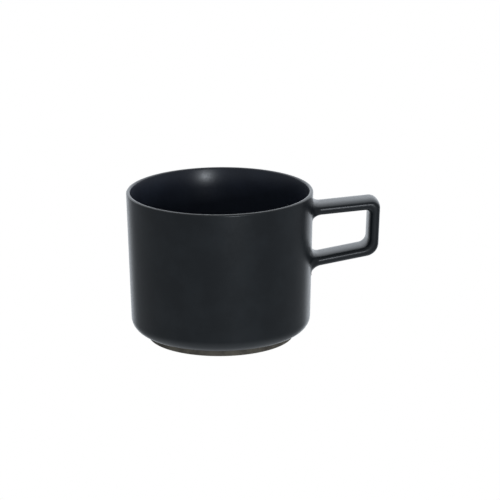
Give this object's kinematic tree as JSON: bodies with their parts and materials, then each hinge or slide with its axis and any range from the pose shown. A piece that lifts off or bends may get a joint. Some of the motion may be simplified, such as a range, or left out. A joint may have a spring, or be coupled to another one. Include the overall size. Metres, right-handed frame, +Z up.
{
  "type": "ceramic mug",
  "caption": "Low straight-sided stoneware mug with a squared loop handle, a narrow foot ring and a dark satin glaze, for hot drinks.",
  "frame": {"origin": "on the cup's axis, in the plane of the foot ring's standing face", "axes": "+Z up along the cup's axis and out of its mouth, +X from the axis towards the handle, +Y to the left of the handle seen from above with +X ahead"},
  "size_m": [0.1159, 0.085, 0.0685],
  "materials": {
    "stoneware": "fired dark stoneware, matt",
    "bare_foot": "unglazed stoneware, sponged smooth",
    "luting_slip": "fired slip, matt",
    "liner_glaze": "satin blue-black glaze",
    "charcoal_glaze": "satin charcoal glaze"
  },
  "bodies": {
    "root": {"cup_body": "stoneware", "foot_ring": "bare_foot", "handle": "stoneware", "upper_slip_joint": "luting_slip", "lower_slip_joint": "luting_slip", "liner_glaze": "liner_glaze", "outer_glaze": "charcoal_glaze", "handle_glaze": "charcoal_glaze", "base_glaze": "charcoal_glaze"}
  },
  "joints": []
}
